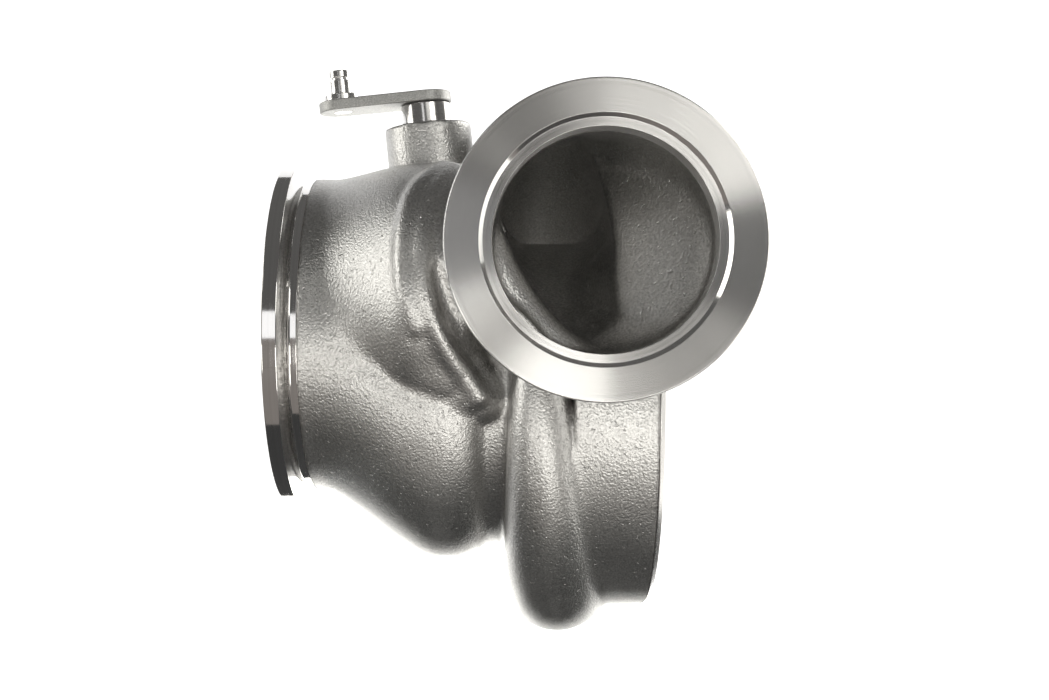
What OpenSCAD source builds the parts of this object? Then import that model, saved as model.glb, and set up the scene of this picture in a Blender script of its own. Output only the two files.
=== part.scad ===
// Turbine housing with V-band flanges and an internal gate valve.
// X runs along the turbine axis towards the bearing side, -Y leaves the inlet, +Z is up.
// The origin is the centre of the bearing face. All sizes are in millimetres.

/* [Barrel and bearing flange] */
// Radius of the barrel that carries the bearing flange
barrel_r = 57.5; // [56:0.1:60]
// Distance from the bearing face to the barrel's inner end
barrel_len = 21; // [19:0.1:23]
// Thickness of the machined bearing flange
bearing_t = 8; // [7:0.1:8.5]
// Radius of the pilot bore
pilot_r = 44; // [42.5:0.1:45]
// Depth of the pilot bore
pilot_depth = 5; // [3:0.1:6]
// Radius of the bore behind the pilot
recess_r = 35.5; // [34:0.1:36]
// Depth of the recess from the bearing face
recess_depth = 19; // [17:0.1:20]
// Number of tapped holes
bolt_count = 8; // [4:1:10]
// Diameter of the tapped holes' circle
bolt_pcd = 101.5; // [100:0.1:103]
// Radius of a tapped hole
bolt_hole_r = 2.5; // [2:0.1:3.4]
// Depth of a tapped hole
bolt_hole_depth = 7; // [4:0.1:7]

/* [Scroll] */
// Outer radius of the scroll where it starts, above the axis
scroll_r_top = 76; // [73:0.1:78]
// Outer radius of the scroll straight below the axis
scroll_r_bottom = 65; // [63:0.1:67]
// Half width of the gas passage where the scroll starts
scroll_half_w = 15; // [13:0.1:15.5]
// Wall of the scroll
scroll_wall = 5; // [4:0.1:5.5]
// Distance of the scroll's middle behind the bearing face, above the axis
scroll_x_top = 25.5; // [25:0.1:27]
// The same distance below the axis
scroll_x_bottom = 23.4; // [22:0.1:25]
// The same distance in front of the axis
scroll_x_front = 29; // [27:0.1:30]
// Radius of the passage's floor
scroll_floor_r = 39; // [38.5:0.1:41]

/* [Turbine bore] */
// Radius of the bore that the turbine wheel leaves through
exducer_r = 27; // [25:0.1:28]
// Radius at the wheel's gas inlet
inducer_r = 31; // [29:0.1:33]
// Width of the slot from the scroll to the wheel
nozzle_w = 7; // [5:0.1:9]
// Outer radius of the wall round the wheel
shroud_r = 41.6; // [40:0.1:44]

/* [Outlet] */
// Distance from the bearing face to the outlet face
outlet_x = 95.3; // [93:0.1:98]
// Height of the outlet's centre above the turbine axis
outlet_z = 14.2; // [12:0.1:16]
// Outer radius of the outlet V-band rim
outlet_rim_r = 45.3; // [44.5:0.1:46.5]
// Radius of the neck behind the rim
outlet_neck_r = 40.5; // [40:0.1:41]
// Radius of the outlet bore
outlet_bore_r = 37.5; // [36.5:0.1:38]
// Greatest radius of the body round the turbine axis
belly_r = 45.6; // [44:0.1:47]
// Distance of that greatest radius from the bearing face
belly_x = 53.5; // [52:0.1:55]
// Wall of the outlet chamber
chamber_wall = 4.5; // [3.5:0.1:5]

/* [Gate chamber] */
// Distance of the chamber's middle in front of the turbine axis
pocket_y = 22; // [20:0.1:23]
// Height of the chamber's middle
pocket_z = 24.2; // [23:0.1:26]
// Height of the chamber's top
pocket_top = 57.2; // [56:0.1:59]
// Radius of the rib that borders the chamber
rib_r = 2.6; // [2:0.1:3]

/* [Inlet] */
// Distance of the inlet face in front of the turbine axis
inlet_y = 75; // [72:0.1:80]
// Distance of the inlet's centre behind the bearing face
inlet_x = 15; // [14:0.1:18]
// Height of the inlet's centre above the turbine axis
inlet_z = 33.9; // [32:0.1:36]
// Outer radius of the inlet V-band rim
inlet_rim_r = 35.4; // [34.5:0.1:36.5]
// Radius of the neck behind the rim
inlet_neck_r = 31; // [30:0.1:32]
// Radius of the inlet bore
inlet_bore_r = 24.8; // [23.5:0.1:25.5]
// Wall of the inlet duct
inlet_wall = 4.5; // [3.5:0.1:5]

/* [V-band rims] */
// Width of a rim's outer land
land_w = 3.8; // [3:0.1:5]
// Axial length of a rim's sloping back
slope_w = 2.1; // [1.5:0.1:3]
// Axial length of a rim's neck
neck_w = 2.1; // [1:0.1:3]
// Depth of the locating step in a rim's face
step_depth = 0.9; // [0.5:0.1:1.5]
// Width of the inner ring inside the step
step_ring = 2; // [1.5:0.1:2.5]

/* [Gate drive] */
// Lean of the gate shaft away from the bearing side, in degrees
shaft_lean = 5.7; // [3:0.1:8]
// Distance of the shaft from the bearing face, at the valve's height
shaft_x = 54.7; // [54:0.1:56]
// Height of the valve's middle above the turbine axis
valve_z = 36; // [35:0.1:37]
// Radius of the gate shaft
shaft_r = 4; // [3.5:0.1:4.5]
// Running gap round the shaft and the valve's stud
running_gap = 0.05; // [0.02:0.01:0.09]
// Radius of the bushing
bushing_r = 6.7; // [6:0.1:7.5]
// Height of the bushing's top above the valve's middle
bushing_top = 40.2; // [38:0.1:43]
// Radius of the cast boss
boss_r = 11.6; // [10.5:0.1:12.5]
// Height of the boss's top above the valve's middle
boss_top = 34.3; // [33:0.1:36]
// Thickness of the lever
lever_t = 2.8; // [2:0.1:3.5]
// Distance from the shaft to the actuator pin
lever_len = 22.3; // [20:0.1:25]
// Radius of the lever's end at the shaft
lever_r_shaft = 7; // [6.5:0.1:8]
// Radius of the lever's end at the pin
lever_r_pin = 6.3; // [5.5:0.1:7]
// Radius of the actuator pin
pin_r = 2.9; // [2.5:0.1:3.3]
// Radius of the pin's collar
pin_collar_r = 4.8; // [4:0.1:5.4]
// Height of the pin's collar
pin_collar_h = 1.8; // [1:0.1:2.5]
// Height of the pin's body between collar and groove
pin_body_h = 3.9; // [3:0.1:6]
// Width of the clip groove
pin_groove_w = 0.7; // [0.5:0.1:1.2]
// Depth of the clip groove
pin_groove_d = 0.6; // [0.4:0.1:0.9]
// Height of the pin's head
pin_head_h = 1.9; // [1.2:0.1:3]

/* [Gate valve] */
// Radius of the valve disc
valve_r = 13; // [12.5:0.1:13.3]
// Thickness of the valve disc at its rim
valve_t = 2.6; // [2:0.1:3]
// Radius of the port that the valve closes
port_r = 10.5; // [9:0.1:11]
// Distance from the shaft to the valve's axis
arm_len = 22; // [21:0.1:22.6]
// Thickness of the swing arm
arm_t = 5; // [4:0.1:5.4]
// Radius of the valve's stud
stud_r = 2.8; // [2.4:0.1:3.2]
// Thickness of the washer
washer_t = 1; // [0.6:0.1:1.4]
// Radius of the washer
washer_r = 5.4; // [4.8:0.1:6]
// Thickness of the cap that holds the washer
cap_t = 1.8; // [1.2:0.1:2.2]
// Radius of the cap
cap_r = 4.4; // [4:0.1:4.8]
// Gap between the closed valve and its seat, and beside the swing arm
seat_gap = 0.3; // [0.2:0.05:0.5]

/* [Hidden] */

// Facets round a turned surface, round one that is turned in the casting, and round a cast one
turned_fn = 96;
bored_fn = 72;
cast_fn = 36;
// The scroll's passage narrows to nothing here, and its wall ends a little later
scroll_end = 285;
scroll_wall_end = 300;
scroll_steps = 24;
half_turn = 180;
// A loft's steps
loft_steps = 12;
// Least and greatest share of the duct's length over which it narrows beside the barrel, and the
// share over which it rises over the wheel
duct_narrow = 0.18;
duct_narrow_high = 0.5;
duct_rise = 0.9;
// The duct runs this far into the scroll, and is this much smaller there
duct_overlap = 2;
seam = 0.1;
// Angle below the middle of the duct's circle at which its floor begins, and the floor's steps
floor_corner = 50;
floor_steps = 6;
// Distance of the tongue in front of the turbine axis, and the height of the space behind it
tongue_y = 27.5;
start_h = 12;
// Small lengths by which one shape runs into another
bite = 0.5;
overrun = 1;
corner = 1.2;
// Small breaks of the turned edges
rim_edge = 0.4;
pin_edge = 0.3;

// The facets of this radius lie round the bearing flange
flange_room_r = barrel_r / cos(half_turn / bored_fn);
flange_len = land_w + slope_w + neck_w;
neck_x = outlet_x - flange_len;
neck_y = inlet_y - flange_len;
// Axial length over which the belly rounds off, and how far the gate chamber passes the shaft
belly_round = 10;
pocket_past = 10;
// How much the cast outlet stands over the machined neck, and the belly's wall at the wheel
neck_step = 0.8;
belly_wall = 7.6;
// Radial room round the swing arm's hub, and the chamber's end past the belly's middle
chamber_room = 2.5;
belly_end_x = belly_x - belly_round;
pocket_start_x = neck_x;
pocket_end_x = shaft_x - pocket_past;
hub_r = 6.5;
hub_h = 10;
arm_x = 0.5;
stud_wall = 3.6;
disc_x = arm_x + arm_t + seat_gap;
seat_x = disc_x + valve_t + seat_gap;
swing_room = 3;
hub_room = 1;
arm_inset = 0.5;
valve_room_x = 12;
bushing_foot = hub_h / 2 + seat_gap;
nozzle_x0 = scroll_x_top + nozzle_w;
washer_x = arm_x - seat_gap - washer_t;
lever_z = bushing_top + seat_gap;
pin_shoulder = 0.4;
pin_hole_r = pin_r - pin_shoulder;
groove_z = lever_t + pin_collar_h + pin_body_h;
// The way of the chamber's rib, as [x, z] pairs
rib_path = [[-53, 53], [-57.5, 47], [-59.5, 39], [-59.8, 30], [-58, 21.5], [-54.3, 14]];
// The keel on which the rib ends, as [x, y, z, radius] sets
keel_path = [[-56, -36, 10.5, 12], [-51, -37.5, 5.5, 10.8], [-46.5, -38.5, 1.2, 8.6],
    [-42.8, -38.6, -1.8, 6.3]];
// The valley beside the rib, as [x, z, radius] sets
valley_path = [[-52, 27, 2.6], [-49, 19.5, 4.4], [-44, 12, 5.6], [-39, 5, 5.6]];

function ease(t) = t <= 0 ? 0 : t >= 1 ? 1 : t * t * (3 - 2 * t);
function mix(a, b, t) = a + (b - a) * t;

// Half width of the scroll's passage at an angle from the top, turning to the back
function passage_w(a) = a >= scroll_end ? 0 : scroll_half_w * (1 - pow(a / scroll_end, 2.3));
function scroll_outer_r(a) = mix(scroll_r_top, scroll_r_bottom, a / half_turn);
function scroll_x(a) = -(scroll_x_top
    + (scroll_x_bottom - scroll_x_top) * ease(a / half_turn)
    + (scroll_x_front - scroll_x_bottom) * ease((a - half_turn) / (scroll_end - half_turn)));

// A scroll section: straight sides from the floor and a round crown, as [x, radius] pairs.
// shrink is taken off both the half width and the crown.
function section(a, floor_r, shrink) =
    let (w = passage_w(a) + scroll_wall - shrink,
         rc = scroll_outer_r(a) - passage_w(a) - scroll_wall,
         n = cast_fn / 2)
    concat([[scroll_x(a) - w, floor_r]],
        [for (i = [0:n]) [scroll_x(a) - w * cos(half_turn * i / n), rc + w * sin(half_turn * i / n)]],
        [[scroll_x(a) + w, floor_r]]);

function scroll_ring(a, floor_r, shrink) =
    [for (p = section(a, floor_r, shrink)) [p[0], p[1] * sin(a), p[1] * cos(a)]];

// A circle square to X
function x_ring(x, y, z, r) =
    [for (i = [0:cast_fn - 1]) [x, y + r * cos(360 * i / cast_fn), z + r * sin(360 * i / cast_fn)]];

// The body that runs from the outlet neck to the wall round the wheel
function belly_radius(x) = x > belly_x
    ? mix(belly_r, outlet_neck_r + neck_step, ease((x - belly_x) / (neck_x - belly_x) * 0.9))
    : mix(belly_r, shroud_r, 1 - sqrt(1 - pow((belly_x - x) / (belly_x - belly_end_x), 2) * 0.999));
function belly_z(x) = outlet_z * ease((x - belly_x) / (neck_x - belly_x));
function belly_ring(x, shrink) = x_ring(-x, 0, belly_z(x), belly_radius(x) - shrink);

// The gate chamber, which leaves the outlet's centre for its own
function pocket_t(x) = (pocket_start_x - x) / (pocket_start_x - shaft_x - 2.6);
function pocket_mid_y(x) = -pocket_y * ease(pocket_t(x));
function pocket_mid_z(x) = mix(outlet_z, pocket_z, ease(pocket_t(x) * 1.3));
function pocket_radius(x) = mix(outlet_z + outlet_neck_r + 0.5, pocket_top, ease(pocket_t(x)))
    - pocket_mid_z(x);
function pocket_ring(x, shrink) =
    x_ring(-x, pocket_mid_y(x), pocket_mid_z(x), pocket_radius(x) - shrink);

// Share of the duct's length after which its wall, at a height, has to be clear of the barrel
function narrow_share(z) = max(duct_narrow, min(duct_narrow_high,
    (neck_y - sqrt(max(0, pow(barrel_r, 2) - pow(z, 2)))) / (neck_y + duct_overlap)));

// The inlet duct: a circle square to Y that becomes the scroll's first section, a little smaller.
// The section's floor is drawn from the circle's lower part, between two corners.
function duct_ring(t, r, floor_r, shrink) =
    let (crown = section(0, floor_r + seam, shrink + seam),
         n = len(crown),
         under = [for (k = [1:floor_steps - 1]) mix(crown[n - 1], crown[0], k / floor_steps)],
         outline = concat(crown, under))
    [for (i = [0:len(outline) - 1])
        let (turn = i < n ? mix(half_turn + floor_corner, -floor_corner, i / (n - 1))
            : mix(-floor_corner, floor_corner - half_turn, (i - n + 1) / floor_steps),
            z = inlet_z + r * sin(turn))
        [mix(-inlet_x + r * cos(turn), outline[i][0], ease(t / narrow_share(z))),
         mix(-neck_y, duct_overlap, t),
         mix(z, outline[i][1], ease(t / duct_rise))]];

// Skins a row of rings, each with the same number of points, and closes both ends.
// Seen along the row, the points of a ring run clockwise. They lie on a grid of 0.01 mm.
module skin(rings) {
    n = len(rings[0]);
    last = n * (len(rings) - 1);
    polyhedron(points = [for (ring = rings) for (p = ring) [for (c = p) round(c * 100) / 100]],
        faces = concat([[for (j = [0:n - 1]) j]],
            [for (i = [0:n:last - n]) for (j = [0:n - 1]) let (k = (j + 1) % n)
                each [[i + j, i + n + k, i + k], [i + j, i + n + j, i + n + k]]],
            [[for (j = [n - 1:-1:0]) last + j]]));
}

// Turns a profile of [distance behind the bearing face, radius] pairs round the X axis
module turned(points, fn = bored_fn)
    rotate([0, -90, 0])
        rotate_extrude($fn = fn)
            polygon([for (p = points) [p[1], p[0]]]);

// Stands a shape at the gate shaft, with Z along it
module at_gate()
    translate([-shaft_x, 0, valve_z])
        rotate([0, -shaft_lean, 0])
            children();

// A rod along the valve's axis, from one distance to another
module valve_rod(x0, x1, r, fn = turned_fn)
    at_gate()
        translate([x0, -arm_len, 0])
            rotate([0, 90, 0])
                cylinder(h = x1 - x0, r = r, $fn = fn);

module scroll_body()
    skin([for (i = [0:scroll_steps])
        let (a = scroll_wall_end * i / scroll_steps) scroll_ring(a, exducer_r + 3, 0)]);

module scroll_passage() {
    skin([for (i = [0:scroll_steps - 1])
        let (a = scroll_end * 0.97 * i / (scroll_steps - 1)) scroll_ring(a, scroll_floor_r, scroll_wall)]);
    turned([[nozzle_x0, inducer_r - overrun], [nozzle_x0, scroll_floor_r + bite],
        [nozzle_x0 - nozzle_w, scroll_floor_r + bite], [nozzle_x0 - nozzle_w, inducer_r - overrun]]);
}

// The scroll's start behind the tongue, where the floor drops to the scroll's own
module scroll_start()
    intersection() {
        turned([[scroll_x_top - scroll_half_w, scroll_floor_r - bite],
            [scroll_x_top - scroll_half_w, scroll_floor_r + start_h],
            [scroll_x_top + scroll_half_w, scroll_floor_r + start_h],
            [scroll_x_top + scroll_half_w, scroll_floor_r - bite]]);
        translate([-2 * scroll_x_top, -tongue_y, 0])
            cube([2 * scroll_x_top, tongue_y + overrun, scroll_r_top]);
    }

module barrel_body() {
    turned([[bearing_t, inducer_r], [bearing_t, barrel_r], [barrel_len - corner, barrel_r],
        [barrel_len, barrel_r - corner], [barrel_len, inducer_r]]);
    turned([[barrel_len - 2, exducer_r], [barrel_len - 2, shroud_r], [belly_end_x + bite, shroud_r],
        [belly_end_x + bite, exducer_r]]);
}

module chamber_body() {
    skin(concat([for (i = [0:loft_steps]) belly_ring(mix(neck_x, belly_x, i / loft_steps), 0)],
        [for (i = [1:4]) belly_ring(mix(belly_x, belly_end_x, sin(90 * i / 4)), 0)]));
    skin([for (i = [0:loft_steps]) pocket_ring(mix(pocket_start_x, pocket_end_x, i / loft_steps), 0)]);
}

module chamber_space() {
    skin([for (i = [0:loft_steps])
        belly_ring(mix(neck_x + overrun, belly_x + chamber_room, i / loft_steps),
            mix(outlet_neck_r + neck_step - outlet_bore_r, belly_wall, i / loft_steps))]);
    skin([for (i = [0:loft_steps])
        pocket_ring(mix(pocket_start_x + overrun, shaft_x + 3, i / loft_steps),
            chamber_wall)]);
    valve_rod(-valve_room_x, seat_x, valve_r + swing_room, cast_fn);
    at_gate()
        translate([0, 0, -hub_h / 2 - hub_room])
            cylinder(h = hub_h + hub_room + seat_gap, r = hub_r + chamber_room, $fn = cast_fn);
}

module duct_body()
    skin([for (i = [0:loft_steps])
        duct_ring(i / loft_steps, inlet_bore_r + inlet_wall, exducer_r + 3, 0)]);

module duct_space()
    skin([for (i = [0:loft_steps])
        duct_ring(i / loft_steps, inlet_bore_r, scroll_floor_r, scroll_wall)]);

// The raised rib that borders the gate chamber, at an [x, z] place on the chamber's front
function pocket_front(p) = pocket_mid_y(-p[0])
    - sqrt(max(0, pow(pocket_radius(-p[0]), 2) - pow(p[1] - pocket_mid_z(-p[0]), 2)));
module chamber_rib() {
    for (i = [0:len(rib_path) - 2])
        hull()
            for (p = [rib_path[i], rib_path[i + 1]])
                translate([p[0], pocket_front(p) + rib_r * 0.4, p[1]])
                    sphere(r = rib_r, $fn = 16);
    hull() {
        p = rib_path[len(rib_path) - 1];
        translate([p[0], pocket_front(p) + rib_r * 0.4, p[1]])
            sphere(r = rib_r, $fn = 16);
        rib_end(keel_path[2]);
    }
    hull() {
        rib_end(keel_path[2]);
        rib_end(keel_path[3]);
    }
}

// A rib's end on the front of the keel
module rib_end(k)
    translate([k[0], k[1] - k[3] + rib_r * 0.7, k[2] + rib_r])
        sphere(r = rib_r, $fn = 16);

module chamber_keel()
    for (i = [0:len(keel_path) - 2])
        hull()
            for (k = [keel_path[i], keel_path[i + 1]])
                translate([k[0], k[1], k[2]])
                    sphere(r = k[3], $fn = cast_fn);

// The valley between the gate chamber and the duct's underside
module chamber_valley()
    for (i = [0:len(valley_path) - 2])
        hull()
            for (p = [valley_path[i], valley_path[i + 1]])
                translate([p[0], pocket_front(p) - overrun, p[1]])
                    sphere(r = p[2], $fn = 20);

module casting()
    color("darkgray")
        difference() {
            union() {
                difference() {
                    union() {
                        scroll_body();
                        barrel_body();
                        chamber_body();
                        chamber_keel();
                        duct_body();
                    }
                    chamber_valley();
                }
                chamber_rib();
                at_gate()
                    translate([0, 0, hub_h / 2])
                        cylinder(h = boss_top - hub_h / 2, r = boss_r, $fn = cast_fn);
            }
            turned([[-pilot_r, 0], [-pilot_r, flange_room_r], [bearing_t, flange_room_r],
                [bearing_t, 0]]);
            scroll_passage();
            scroll_start();
            duct_space();
            chamber_space();
            turned([[bearing_t - overrun, 0], [bearing_t - overrun, recess_r],
                [recess_depth, recess_r], [recess_depth + 3, inducer_r + 1.5],
                [nozzle_x0 + bite, inducer_r], [nozzle_x0 + 6, exducer_r],
                [belly_x + 5, exducer_r], [belly_x + 5, 0]]);
            valve_rod(seat_x - overrun, shaft_x - inlet_x - inlet_bore_r + 3, port_r, cast_fn);
            at_gate()
                cylinder(h = boss_top + overrun, r = bushing_r / cos(half_turn / cast_fn), $fn = cast_fn);
        }

module bearing_flange()
    color("silver")
        difference() {
            turned([[0, pilot_r], [0, barrel_r - corner], [corner, barrel_r], [bearing_t, barrel_r],
                [bearing_t, recess_r], [pilot_depth, recess_r], [pilot_depth, pilot_r]],
                turned_fn);
            for (i = [0:bolt_count - 1])
                rotate([360 * (i + 0.5) / bolt_count, 0, 0])
                    translate([-bolt_hole_depth, 0, bolt_pcd / 2])
                        rotate([0, 90, 0])
                            cylinder(h = bolt_hole_depth + overrun, r = bolt_hole_r, $fn = 32);
        }

// A V-band rim with its face at zero and its neck behind it
module rim(rim_r, neck_r, bore_r)
    rotate_extrude($fn = turned_fn)
        polygon([[bore_r, step_depth], [bore_r + step_ring, step_depth],
            [bore_r + step_ring + step_depth, 0], [rim_r - rim_edge, 0], [rim_r, rim_edge],
            [rim_r, land_w], [neck_r, land_w + slope_w], [neck_r, flange_len],
            [bore_r, flange_len]]);

module inlet_flange()
    color("gainsboro")
        translate([-inlet_x, -inlet_y, inlet_z])
            rotate([-90, 0, 0])
                rim(inlet_rim_r, inlet_neck_r, inlet_bore_r);

module outlet_flange()
    color("gainsboro")
        translate([-outlet_x, 0, outlet_z])
            rotate([0, 90, 0])
                rim(outlet_rim_r, outlet_neck_r, outlet_bore_r);

module gate_bushing()
    color("white")
        at_gate()
            translate([0, 0, bushing_foot])
                difference() {
                    cylinder(h = bushing_top - bushing_foot, r = bushing_r, $fn = turned_fn);
                    translate([0, 0, -overrun])
                        cylinder(h = bushing_top + overrun, r = shaft_r + running_gap, $fn = turned_fn);
                }

module gate_shaft()
    color("lightgray")
        at_gate()
            translate([0, 0, -hub_h / 2])
                cylinder(h = lever_z + lever_t + hub_h / 2, r = shaft_r, $fn = turned_fn);

module swing_arm()
    color("gray")
        at_gate()
            difference() {
                union() {
                    translate([0, 0, -hub_h / 2])
                        cylinder(h = hub_h, r = hub_r, $fn = turned_fn);
                    translate([arm_x, -arm_len, 0])
                        rotate([0, 90, 0])
                            linear_extrude(arm_t)
                                hull() {
                                    circle(r = stud_r + stud_wall, $fn = turned_fn);
                                    translate([0, arm_len])
                                        circle(r = hub_h / 2 - arm_inset, $fn = turned_fn);
                                }
                }
                translate([0, 0, -hub_h])
                    cylinder(h = 2 * hub_h, r = shaft_r, $fn = turned_fn);
                translate([arm_x - overrun, -arm_len, 0])
                    rotate([0, 90, 0])
                        cylinder(h = arm_t + 2 * overrun, r = stud_r + running_gap, $fn = turned_fn);
            }

module gate_valve()
    color("dimgray")
        union() {
            valve_rod(disc_x, disc_x + valve_t, valve_r);
            valve_rod(washer_x - cap_t, disc_x + bite, stud_r);
        }

module valve_washer()
    color("silver")
        difference() {
            valve_rod(washer_x, washer_x + washer_t, washer_r);
            valve_rod(washer_x - overrun, washer_x + washer_t + overrun, stud_r);
        }

module valve_cap()
    color("lightgray")
        difference() {
            valve_rod(washer_x - cap_t, washer_x, cap_r);
            valve_rod(washer_x - cap_t - overrun, washer_x + overrun, stud_r);
        }

module gate_lever()
    color("darkgray")
        at_gate()
            translate([0, 0, lever_z])
                linear_extrude(lever_t)
                    difference() {
                        hull() {
                            circle(r = lever_r_shaft, $fn = turned_fn);
                            translate([-lever_len, 0])
                                circle(r = lever_r_pin, $fn = turned_fn);
                        }
                        circle(r = shaft_r, $fn = turned_fn);
                        translate([-lever_len, 0])
                            circle(r = pin_hole_r, $fn = turned_fn);
                    }

module actuator_pin()
    color("white")
        at_gate()
            translate([-lever_len, 0, lever_z])
                rotate_extrude($fn = turned_fn)
                    polygon([[0, 0], [pin_hole_r, 0], [pin_hole_r, lever_t],
                        [pin_collar_r, lever_t], [pin_collar_r, lever_t + pin_collar_h],
                        [pin_r, lever_t + pin_collar_h], [pin_r, groove_z],
                        [pin_r - pin_groove_d, groove_z],
                        [pin_r - pin_groove_d, groove_z + pin_groove_w],
                        [pin_r, groove_z + pin_groove_w],
                        [pin_r, groove_z + pin_groove_w + pin_head_h - pin_edge],
                        [pin_r - pin_edge, groove_z + pin_groove_w + pin_head_h],
                        [0, groove_z + pin_groove_w + pin_head_h]]);

casting();
bearing_flange();
inlet_flange();
outlet_flange();
gate_bushing();
gate_shaft();
swing_arm();
gate_valve();
valve_washer();
valve_cap();
gate_lever();
actuator_pin();
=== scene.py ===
import math

import bmesh
import bpy
import numpy as np
import openvdb
from mathutils import Matrix, Vector


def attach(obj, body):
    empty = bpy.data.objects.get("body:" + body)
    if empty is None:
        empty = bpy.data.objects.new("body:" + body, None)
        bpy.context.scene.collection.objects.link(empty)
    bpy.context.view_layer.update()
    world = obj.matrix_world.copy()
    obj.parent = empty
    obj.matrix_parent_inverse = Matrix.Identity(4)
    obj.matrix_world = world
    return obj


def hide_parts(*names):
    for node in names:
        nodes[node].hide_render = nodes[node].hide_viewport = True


MM = 0.001

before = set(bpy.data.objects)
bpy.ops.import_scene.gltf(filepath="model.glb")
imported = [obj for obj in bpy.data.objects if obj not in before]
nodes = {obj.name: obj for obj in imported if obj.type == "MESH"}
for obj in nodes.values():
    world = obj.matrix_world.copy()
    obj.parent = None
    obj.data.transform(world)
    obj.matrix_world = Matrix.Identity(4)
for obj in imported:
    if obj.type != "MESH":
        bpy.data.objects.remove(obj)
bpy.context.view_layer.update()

# Sizes, in millimetres
BARREL_R, BARREL_LEN, BEARING_T, BEARING_END = 57.5, 21.0, 8.0, 1.2
PILOT_R, RECESS_R, RECESS_DEPTH = 44.0, 35.5, 19.0
SCROLL_R_TOP, SCROLL_R_BOTTOM = 76.0, 65.0
SCROLL_HALF_W, SCROLL_WALL = 15.0, 5.0
SCROLL_X_TOP, SCROLL_X_BOTTOM, SCROLL_X_FRONT = 25.5, 23.4, 29.0
SCROLL_FLOOR_R, SCROLL_END, SCROLL_WALL_END = 39.0, 285.0, 300.0
EXDUCER_R, INDUCER_R, NOZZLE_W, SHROUD_R = 27.0, 31.0, 7.0, 41.6
NOZZLE_X = SCROLL_X_TOP + NOZZLE_W
OUTLET_X, OUTLET_Z = 95.3, 14.2
OUTLET_NECK_R, OUTLET_BORE_R = 40.5, 37.5
BELLY_R, BELLY_X = 45.6, 53.5
BELLY_END_X = BELLY_X - 10
CHAMBER_WALL = 4.5
POCKET_Y, POCKET_Z, POCKET_TOP = 22.0, 24.2, 57.2
INLET_X, INLET_Y, INLET_Z = 15.0, 75.0, 33.9
INLET_BORE_R, INLET_WALL = 24.8, 4.5
FLANGE_LEN = 8.0
NECK_X = OUTLET_X - FLANGE_LEN
NECK_Y = INLET_Y - FLANGE_LEN
SHAFT_LEAN, SHAFT_X, VALVE_Z = math.radians(5.7), 54.7, 36.0
BOSS_R, BOSS_TOP, BUSHING_R = 11.6, 34.3, 6.7
HUB_R, HUB_H = 6.5, 10.0
ARM_LEN, VALVE_R, PORT_R, SEAT_X = 22.0, 13.0, 10.5, 8.7
INLET_RIM_R, INLET_NECK_R, OUTLET_RIM_R = 35.4, 31.0, 45.3
LAND_W, SLOPE_W, STEP_DEPTH, STEP_RING = 3.8, 2.1, 0.9, 2.0
PILOT_DEPTH, PILOT_LIP = 5.0, 1.1
BOLT_COUNT, BOLT_PCD, BOLT_HOLE_R = 8, 101.5, 2.5
SHAFT_R, BUSHING_FOOT, BUSHING_TOP = 4.0, 5.3, 40.2
LEVER_T, LEVER_LEN, LEVER_R_SHAFT, LEVER_R_PIN, LEVER_EDGE = 2.8, 22.3, 7.0, 6.3, 0.35
LEVER_Z = BUSHING_TOP + 0.3
PIN_R, PIN_HOLE_R, PIN_COLLAR_R, PIN_COLLAR_H, PIN_BODY_H = 2.9, 2.5, 4.8, 1.8, 3.9
PIN_GROOVE_W, PIN_GROOVE_D, PIN_HEAD_H = 0.7, 0.6, 1.9
# The duct from flange to scroll: shares of its length, and the floor of its section
DUCT_NARROW, DUCT_NARROW_HIGH, DUCT_RISE = 0.18, 0.5, 0.9
DUCT_OVERLAP = 2.0
FLOOR_CORNER, FLOOR_STEPS, CROWN_STEPS = 50, 10, 44
TONGUE_Y, START_H = 27.5, 12.0
# Fillets between the casting's shapes, and the softness of the edges of its rooms
SCROLL_FILLET, BODY_FILLET, DUCT_FILLET, BOSS_FILLET = 1.6, 2.5, 0.5, 1.6
POCKET_FILLET, KEEL_FILLET, VALLEY_FILLET, RIDGE_FILLET = 1.2, 3.0, 3.0, 2.2
ROOM_EDGE, START_EDGE, NOZZLE_EDGE, BORE_EDGE, BUSHING_EDGE = 0.8, 0.5, 0.4, 0.3, 0.2
CHAMBER_WALL_IN, CHAMBER_WALL_OUT = 3.8, 7.6
VALVE_CLEAR, HUB_CLEAR = 3.0, 2.5
# The box round the casting, and the spacing of the points that its skin is made from
CAST_LOW, CAST_HIGH = (-88.5, -68.5, -67), (16, 72.5, 78)
SKIN_STEP, QUICK_STEP, SKIN_INSET = 0.7, 1.2, 0.03
# Steps round the turned pieces, and round each of their edges
TURN_STEPS, FACE_STEPS, PIN_STEPS, DRILL_STEPS, EDGE_STEPS = 384, 256, 128, 48, 3
DRILL_OUT, DRILL_IN = 1, 3
LEVER_STEPS, HOLE_STEPS = 64, 96
# The camera: its place, and its focal length and middle in pixels of the frame
FRAME_W, CAMERA_FOCUS, CAMERA_MID_X = 1049, 1400, 512
SENSOR_W = 36.0
CAMERA_PLACE = (-35.4, -378, 10)
# The studio: the place that cards and lamps face, the lamps' tint, and the room
PART_MID = (-35, -20, 10)
LAMP_TINT = (1.0, 0.99, 0.94)
FLOOR_Z, CEILING_Z, BACK_Y, FRONT_Y, SIDE_X = -320, 1150, 900, -1400, 1500
FLOOR_REACH, FLOOR_BREAK, SIDE_END = 3000, 200, 600
BELOW_X, BELOW_Y, BELOW_Z = (-260, 200), (-110, 120), -140
WHITE, GREY, DARK, BLACK = (1, 1, 1), (0.7, 0.7, 0.7), (0.10, 0.098, 0.095), (0, 0, 0)
BROWN, SHADE, BRIGHT = (0.22, 0.20, 0.185), (0.04, 0.04, 0.04), (1.25, 1.25, 1.25)
ROOM_LIGHT = 0.1


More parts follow.
